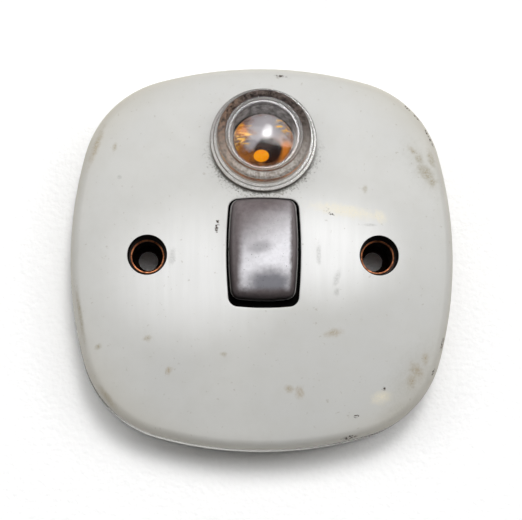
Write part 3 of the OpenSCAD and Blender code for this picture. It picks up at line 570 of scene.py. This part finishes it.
# Near-black moulding for the rocker's underside, the inside of the shell and the hole walls: far
# darker than the brown phenolic, as painted shade in the gaps and holes.
raw_moulding_shade, shader, place = new_finish("raw_moulding_shade")
dust = place.grain(1.8, 3.0).step(0.45, 0.75)
lay(shader, {
    "Base Color": dust.blend((0.0035, 0.003, 0.003), (0.010, 0.008, 0.007)),
    "Roughness": 0.8 + 0.1 * dust,
    "Specular IOR Level": 0.1,
})
finish_piece(rocker, [key_highlight_finish, raw_moulding_shade], "rocker", ["rocker"])
recoat(rocker, lambda at, normal: at.z < rocker_edge - rocker_lip_h - 0.03
       or abs(at.x) > rocker_half[0] + 0.02, on_rocker.inverted())

# Lens: a clear moulded cap with a stepped flange, a raised ring and a dome. Its
# neck goes through the cover, and a ring holds it from behind. Its neck, flange
# and sloping rim are coloured with painted shade, and its back with a painted glow.
lens_y = 25.4
crown_r = 170.0
cover_top = 18.5
lens_tilt = math.atan(lens_y / crown_r)
lens_z = crown(0, lens_y, cover_top, crown_r, crown_r)
lens_seat = (0, lens_y, lens_z)
on_lens = Matrix.Translation(lens_seat) @ Matrix.Rotation(-lens_tilt, 4, "X")


def dome(radius, edge, top):
    """Section of a dome, from its foot up to its middle."""
    rise = top - edge
    r = (radius * radius + rise * rise) / (2 * rise)
    reach = math.asin(radius / r)
    return [(r * math.sin(reach * (1 - i / 14)), top - r + r * math.cos(reach * (1 - i / 14)))
            for i in range(15)]


neck_hollow_r = 7.6
neck_r = 9.6
neck_low = -5.2
flange_low = -0.227
lens_rim = eased([
    (neck_hollow_r, -2.0), (neck_hollow_r, neck_low), (neck_r, neck_low), (neck_r, flange_low),
    (11.7, flange_low), (11.7, 0.673), (11.0, 0.673), (11.0, 1.273), (10.3, 1.273), (10.3, 4.1),
    (9.7, 4.7), (8.65, 4.35), (8.47, 4.7), (8.13, 4.7), (7.95, 4.35), (7.0, 4.35)], 0.22)
inner_dome = list(reversed(dome(neck_hollow_r, -0.2, 2.4)))
lens_section = lens_rim + dome(7.0, 4.35, 5.85) + inner_dome + [(neck_hollow_r, -2.0)]
lens_section = [p for i, p in enumerate(lens_section)
                if not i or math.dist(p, lens_section[i - 1]) > 1e-3]
clear, shader, place = new_finish("clear_lens")
haze = place.grain(0.9, 4.0).step(0.45, 0.75)
lay(shader, {
    "Base Color": haze.blend((0.97, 0.97, 0.96), (0.90, 0.89, 0.87)),
    "Roughness": 0.10 + 0.05 * haze,
    "IOR": 1.43,
    "Transmission Weight": 1.0,
})
# The neck and the flange's underside: an opaque colour of painted shade, dark at the top and
# lighter lower down, and a painted glow through its emission.
lens_back_shade, shader, place = new_finish("lens_back_painted_shade_glow")
place = place.from_piece(lens_seat, -lens_tilt)
mottle = place.grain(0.8, 5.0, 0.65).step(0.3, 0.7)
lower = (place.axis(1) + 4.0 * mottle).step(7.0, -3.0)
neck = lower.blend(mottle.blend((0.045, 0.040, 0.040), (0.30, 0.28, 0.28)),
                   mottle.blend((0.24, 0.20, 0.17), (0.38, 0.34, 0.30)))
under_flange = lower.blend((0.30, 0.29, 0.28),
                           mottle.blend((0.46, 0.45, 0.43), (0.58, 0.57, 0.55)))
back_shade_glow = spot(place, 0, 0, 1, 1).step(9.56, 9.7).blend(neck, under_flange)
lay(shader, {
    "Base Color": back_shade_glow,
    "Roughness": 0.6 + 0.2 * mottle,
    "Specular IOR Level": 0.1,
    "Emission Color": back_shade_glow,
    "Emission Strength": 0.5,
})
# The rim's sloping top and the flange's step walls: an opaque colour of painted shade, dark at the
# top and lighter lower down, with a painted orange reflection towards the left.
band_painted_shade, shader, place = new_finish("band_painted_shade")
place = place.from_piece(lens_seat, -lens_tilt)
mottle = place.grain(1.1, 6.0, 0.75).step(0.36, 0.66)
across = place.axis(0)
lower = (place.axis(1) + 4.0 * mottle).step(7.0, -7.0)
band_shade = lower.blend(mottle.blend((0.014, 0.011, 0.010), (0.135, 0.105, 0.092)),
                    mottle.blend((0.21, 0.175, 0.15), (0.50, 0.475, 0.44)))
band_shade = (0.5 * across.step(-3.0, -9.0) * mottle).blend(band_shade, (0.36, 0.21, 0.13))
lay(shader, {
    "Base Color": band_shade,
    "Roughness": 0.5 + 0.1 * mottle,
    "Specular IOR Level": 0.05,
    "Normal": raise_by(mottle, 0.01),
})
lens = turned("clear_lens", lens_section, 128)
lens.data.transform(on_lens)
finish_piece(lens, [clear, lens_back_shade, band_painted_shade], "switch", ["lens"])
lens_back = -0.1
band_low = 4.3
band_r = (8.5, 10.05)
flange_step_r = 10.92


def on_back(at, normal):
    """The neck and the underside of the flange."""
    return at.z < lens_back and math.hypot(at.x, at.y) > neck_hollow_r - 0.1


def on_band(at, normal):
    """The sloping top of the rim, and the upright walls of the flange's steps."""
    r = math.hypot(at.x, at.y)
    top = at.z > band_low and band_r[0] < r < band_r[1]
    return top or (at.z > lens_back and r > flange_step_r and abs(normal.z) < 0.6)


recoat(lens, on_back, on_lens.inverted())
recoat(lens, on_band, on_lens.inverted(), 2)

# Cover: a domed square shell with bowed sides, moulded in brown phenolic and
# sprayed off-white. It drops over the base and is screwed on from behind, and
# its edges are chipped through to the brown. Its paint is worn lighter beside
# the rocker with a painted sheen there, and its lip carries a painted highlight.
cover_outline = Outline(43, 43, 88, 88, 23.5)
cover_wall = 2.2
skirt_h = 9.5
skirt_in = 0.6
shoulder = 2.2
lip_h = 1.0
lip_in = 0.5
around = cover_outline.directions(10, 20)
aperture_half = 12.05
aperture_outline = Outline(8.15, aperture_half, 115, 60, 2.2)
aperture_y = 0.4
aperture_round = 0.3
aperture_lean = 0.71


def cover_level(inset, z):
    return [(x, y, z) for x, y in cover_outline.ring(around, inset)]


def face_ring(share, outer, edge, top, r, lean=0.0):
    """Ring between the aperture's edge and an outer ring, on a crowned face."""
    ring = []
    for (x0, y0), (x1, y1) in zip(aperture_outline.ring(around, -edge), outer):
        y0 += aperture_y + lean * max(0, y0 / aperture_half)
        x, y = x0 + (x1 - x0) * share, y0 + (y1 - y0) * share
        ring.append((x, y, crown(x, y, top, r, r)))
    return ring


rings = [cover_level(cover_wall, 0.15), cover_level(cover_wall - 0.15, 0), cover_level(0.35, 0),
         cover_level(0.1, 0.1), cover_level(0, 0.35), cover_level(0.02, lip_h - 0.25),
         cover_level(0.12, lip_h - 0.08), cover_level(0.3, lip_h + 0.02),
         cover_level(lip_in, lip_h + 0.12), cover_level(lip_in + 0.06, lip_h + 0.4),
         cover_level(skirt_in, 5.0), cover_level(skirt_in, skirt_h)]
for t in round_steps:
    ring = cover_outline.ring(around, skirt_in + shoulder * t)
    rise = math.sqrt(1 - (1 - t) ** 2)
    rings.append([(x, y, skirt_h + (crown(x, y, cover_top, crown_r, crown_r) - skirt_h) * rise)
                  for x, y in ring])
outer = cover_outline.ring(around, skirt_in + shoulder)
for share in (0.97, 0.92, 0.85, 0.76, 0.66, 0.55, 0.44, 0.33, 0.23, 0.14, 0.07, 0.025, 0):
    rings.append(face_ring(share, outer, aperture_round, cover_top, crown_r))
for a in (15, 30, 45, 60, 75, 90):
    inward = aperture_round * (1 - math.sin(math.radians(a)))
    drop = aperture_round * (1 - math.cos(math.radians(a)))
    rings.append([(x, y, z - drop) for x, y, z in face_ring(0, outer, inward, cover_top, crown_r)])
inner_top = cover_top - cover_wall
inner_r = crown_r - cover_wall
rings.append(face_ring(0, outer, 0, inner_top + 0.15, inner_r, aperture_lean))
inner = cover_outline.ring(around, cover_wall + skirt_in + 1)
for share in (0.01, 0.1, 0.3, 0.55, 0.8, 1):
    rings.append(face_ring(share, inner, 0.15, inner_top, inner_r, aperture_lean))
for inset, z in ((cover_wall + skirt_in + 0.4, 9.6), (cover_wall + skirt_in, skirt_h - cover_wall),
                 (cover_wall, 0.15)):
    rings.append(cover_level(inset, z))
cover = lofted("cover_shell", rings)
close_up()

boss_at = 24
screw_boss = [(0, 3.3), (3.9, 3.3), (3.9, 13.2), (0, 13.2)]
insert_hole = [(0, 2.0), (2.4, 2.0), (2.4, 9.3), (0, 9.3)]
fixing_hole_r = 4.35
fixing_edge = 0.18
fixing_hole = [
    (0, -6), (fixing_hole_r, -6), (fixing_hole_r, -fixing_edge * 1.5),
    (fixing_hole_r + fixing_edge * 0.35, -fixing_edge * 0.6),
    (fixing_hole_r + fixing_edge * 1.4, fixing_edge * 0.4), (0, fixing_edge * 0.4)]
fixing_face = crown(ferrule_x, 0, cover_top, crown_r, crown_r)
fixing_tilt = math.atan(ferrule_x / crown_r)
lens_hole_r = 9.7
lens_hole = [(0, -5), (lens_hole_r, -5), (lens_hole_r, 3), (0, 3)]
for side in (-1, 1):
    on_boss = Matrix.Translation((side * boss_at, side * boss_at, 0))
    boss = turned("boss", screw_boss, 48)
    boss.data.transform(on_boss)
    join_or_cut(cover, boss, "UNION")
    hole = turned("hole", insert_hole, 48)
    hole.data.transform(on_boss)
    join_or_cut(cover, hole, "DIFFERENCE")
    hole = turned("hole", fixing_hole, 72)
    hole.data.transform(Matrix.Translation((side * ferrule_x, 0, fixing_face))
                        @ Matrix.Rotation(side * fixing_tilt, 4, "Y"))
    join_or_cut(cover, hole, "DIFFERENCE")
hole = turned("hole", lens_hole, 96)
hole.data.transform(on_lens)
join_or_cut(cover, hole, "DIFFERENCE")

enamel, shader, place = new_finish("sprayed_enamel")
height = place.axis(2)
cloud = place.grain(0.035, 3.0).step(0.3, 0.7)
mottle = place.grain(0.25, 5.0, 0.6).step(0.35, 0.75)
peel = place.grain(1.2, 3.0)
streak = place.stretch(1.0, 0.06, 1.0).grain(0.7, 3.0).step(0.35, 0.7)
ragged = place.grain(0.9, 6.0, 0.72) - 0.5
frayed = place.grain(2.6, 5.0, 0.7) - 0.5


def marks(rough, soft, *ovals):
    """Where any of the ovals lies, each with a rough edge."""
    found = 0.0 * rough
    for oval in ovals:
        found = found | (spot(place, *oval) + rough).step(1.0 + soft, 1.0 - soft)
    return found


# Lighter, smoother paint left and right of the rocker: worn by rubbing, and a painted sheen, the
# glow of a light reflected in the crown.
rubbed_and_sheen = 0.72 * spot(place, -15, -4, 22, 17).step(1.2, 0.2)
rubbed_and_sheen = rubbed_and_sheen | (0.86 * spot(place, 13, 1, 19, 13).step(1.2, 0.2))
rubbed_and_sheen = rubbed_and_sheen * (0.86 + 0.14 * streak)
stains = marks(
    2.6 * ragged + 2.2 * frayed, 0.8,
    (36.1, 18.7, 1.9, 1.1, -46), (37.3, 22.0, 1.5, 0.6, -75), (34.5, 21.9, 1.1, 0.7, -65),
    (33.2, 23.7, 1.1, 0.5, -41), (37.6, 16.6, 0.9, 0.8), (33.8, -25.1, 1.6, 1.0, -57),
    (32.7, -27.3, 1.2, 0.9, 70), (35.7, -22.4, 1.0, 0.6, 90), (15.3, -17.0, 1.7, 0.7, 15),
    (8.0, -29.9, 1.1, 0.8, 90), (5.6, -29.3, 0.8, 0.7), (-20.6, -25.2, 0.8, 0.6, 78),
    (-25.3, -18.2, 0.9, 0.5), (-36.0, -19.9, 0.7, 0.5, 28), (-36.8, 24.4, 3.6, 0.6, 71),
    (22.3, 14.6, 0.7, 0.5, 90), (-32.7, 24.1, 0.7, 0.4, 72), (-8.7, -21.7, 0.6, 0.4),
    (-34.0, -30.9, 2.4, 0.5, -52), (-40.0, -13.0, 5.0, 0.4, 99))
smudges = marks(
    2.0 * ragged + 1.5 * frayed, 0.5,
    (12.0, 0.1, 2.3, 0.5, 89), (16.0, -5.1, 1.7, 0.6, 72), (16.0, -8.1, 0.8, 0.6, 81),
    (-19.9, -0.5, 1.6, 0.7, 82), (23.3, 6.7, 1.4, 0.3), (-31.6, 17.3, 0.5, 0.4))
thumbed = marks(
    2.4 * ragged + 0.8 * frayed, 0.9,
    (32.3, -26.8, 7.0, 3.2, 59), (29.5, -33.5, 4.0, 1.6, 35), (35.4, 19.8, 5.5, 2.4, -60))
cream = marks(
    2.0 * ragged + 0.8 * frayed, 0.7,
    (18.0, 9.7, 6.2, 1.2, -9), (25.5, 8.6, 1.4, 1.0, -41), (26.0, -30.9, 1.9, 1.2, 15))
chips = marks(
    2.2 * frayed + 1.0 * ragged, 0.25,
    (3.8, 40.1, 1.3, 0.28, -5), (19.05, -39.7, 1.6, 0.4, 12), (-10.2, 6.2, 1.3, 0.4, 83),
    (26.5, -29.1, 0.45, 0.4), (20.4, -35.1, 0.6, 0.35, 22), (14.8, 9.0, 0.6, 0.3, -23),
    (32.3, 33.5, 0.8, 0.2, -48), (34.4, 31.4, 1.0, 0.2, -52), (36.5, 28.1, 0.9, 0.22, -62),
    (37.5, 26.0, 1.1, 0.25, -66), (37.6, -25.4, 0.8, 0.25, 66), (39.6, -19.2, 1.4, 0.3, 74))
chips = chips * place.grain(2.2, 3.0).step(0.44, 0.56)
# Darker paint in a patch and a thin ring on the lower side of the lens, with dark specks there.
from_lens = spot(place, 0, lens_y, 1, 1)
below_lens = place.axis(1).step(lens_y + 3, lens_y - 9)
dark_under_lens = (from_lens + 4.0 * ragged + 6.0 * frayed).step(13.0, 11.6) * below_lens
dark_ring_under_lens = (from_lens + 1.2 * frayed).step(12.35, 11.8) * below_lens
specks = place.grain(2.0, 3.0, 0.6).step(0.56, 0.66) * below_lens
specks = specks * (from_lens + 4.0 * ragged).step(15.0, 12.0)
blotch = frayed.step(-0.16, 0.16)
paint = cloud.blend((0.562, 0.559, 0.535), (0.527, 0.527, 0.510))
paint = (0.4 * mottle).blend(paint, (0.50, 0.495, 0.465))
paint = rubbed_and_sheen.blend(paint, (0.880, 0.880, 0.875))
# The paint turns darker and browner down the shoulder and skirt.
paint = (0.62 * height.step(14.4, 10.5)).blend(paint, (0.44, 0.40, 0.31))
# A light metallic line along the lip's top edge: a burnished edge with a painted highlight.
burnished_lip_highlight = height.step(1.5, 1.2) * height.step(0.6, 0.9)
paint = (0.9 * burnished_lip_highlight).blend(paint, (0.86, 0.86, 0.83))
paint = (0.75 * cream * (0.4 + 0.6 * blotch)).blend(paint, (0.76, 0.70, 0.54))
stain_tint = cloud.blend((0.27, 0.235, 0.145), (0.34, 0.255, 0.15))
paint = (0.8 * stains * (0.25 + 0.75 * blotch)).blend(paint, stain_tint)
paint = (0.4 * smudges * (0.3 + 0.7 * blotch)).blend(paint, (0.22, 0.22, 0.20))
paint = (0.26 * thumbed * (0.4 + 0.6 * blotch)).blend(paint, (0.24, 0.225, 0.17))
paint = (0.6 * dark_under_lens).blend(paint, (0.16, 0.15, 0.125))
paint = (0.8 * (specks | dark_ring_under_lens)).blend(paint, (0.055, 0.048, 0.038))
paint = (0.3 * place.grain(1.1, 3.0).step(0.66, 0.74)).blend(paint, (0.24, 0.20, 0.14))
paint = chips.blend(paint, (0.050, 0.032, 0.022))
lay(shader, {
    "Base Color": paint,
    "Roughness": 0.42 + 0.05 * cloud - 0.06 * rubbed_and_sheen + 0.2 * (stains | dark_under_lens) + 0.25 * chips
                 - 0.2 * burnished_lip_highlight,
    "Metallic": 0.8 * burnished_lip_highlight,
    "Specular IOR Level": 0.43,
    "Normal": raise_by(0.15 * peel - chips, 0.05),
})
finish_piece(cover, [enamel, raw_moulding_shade], "switch", ["cover"], 40.0)
spray_depth = 0.6
walls_low = 12
walls_half = (31, 36)


def unpainted_shade_faces(at, normal):
    """The inside of the shell, and the walls of its holes below their edges."""
    depth = crown(at.x, at.y, cover_top, crown_r, crown_r) - at.z
    near = abs(at.x) < walls_half[0] and abs(at.y) < walls_half[1]
    walls = depth > spray_depth and at.z > walls_low and near
    from_hole = min(math.hypot(at.x - side * ferrule_x, at.y) for side in (-1, 1))
    holes = from_hole < fixing_hole_r + 0.1 and abs(normal.z) < 0.6
    return (normal.z < -0.3 and at.z > 0.2) or walls or holes


# These faces get the near-black moulding: unpainted phenolic darkened to painted shade.
recoat(cover, unpainted_shade_faces)

# Table and light: a white paper sheet under the switch, a wide soft box and a
# small bright one beyond its lens, one on each side, and weak ones in front
# and over the camera.
bpy.ops.object.select_all(action="DESELECT")
table_size = 6.0
bpy.ops.mesh.primitive_plane_add(size=table_size)
table = bpy.context.object
table.name = "table"
paper, shader, place = new_finish("white_paper")
fibre = place.grain(0.8, 3.0)
lay(shader, {"Base Color": fibre.blend((0.97, 0.97, 0.97), (1.0, 1.0, 1.0)), "Roughness": 0.95,
             "Specular IOR Level": 0.0, "Normal": raise_by(fibre, 0.25)})
behind = Tone(paper.node_tree.nodes.new("ShaderNodeNewGeometry").outputs["Backfacing"])
sheet = behind.node("MixShader", {}, {0: behind, 1: Tone(shader.outputs[0]),
                                      2: behind.node("BsdfTransparent", {}, {})})
paper.node_tree.links.new(sheet.socket, paper.node_tree.nodes["Material Output"].inputs[0])
table.data.materials.append(paper)

world = bpy.data.worlds.new("studio")
bpy.context.scene.world = world
world.use_nodes = True
nodes, links = world.node_tree.nodes, world.node_tree.links
way = Tone(nodes.new("ShaderNodeTexCoord").outputs["Generated"])
sky = 0.04 + 0.5 * (0.7 * way.axis(1) + 0.5 * way.axis(2)).step(0.2, 1.0)
links.new(sky.socket, nodes["Background"].inputs["Strength"])
nodes["Background"].inputs["Color"].default_value = (1, 1, 1, 1)


def soft_light(name, way, distance, wide, high, watts):
    """A soft box in a direction from the switch, turned towards it."""
    data = bpy.data.lights.new(name, "AREA")
    data.shape = "ELLIPSE"
    data.size, data.size_y = wide, high
    data.energy = watts
    light = bpy.data.objects.new(name, data)
    bpy.context.scene.collection.objects.link(light)
    light.location = Vector(way).normalized() * distance
    light.rotation_euler = (-light.location).to_track_quat("-Z", "Y").to_euler()


soft_light("key", (0.1, 0.4, 1), 2.4, 4.2, 0.9, 30.5)
for side, watts in ((-1, 5.0), (1, 6.0)):
    soft_light("wing", (side * 0.9, 0.36, 0.8), 2.0, 0.9, 0.9, watts)
soft_light("window_glow", (0.13, 0.55, 1), 2.0, 0.5, 0.70, 13.5)
soft_light("front_fill", (-0.25, -1, 0.49), 1.6, 2.2, 0.6, 3.2)
soft_light("over_camera", (0.06, 0.09, 1), 1.5, 0.6, 0.6, 0.2)
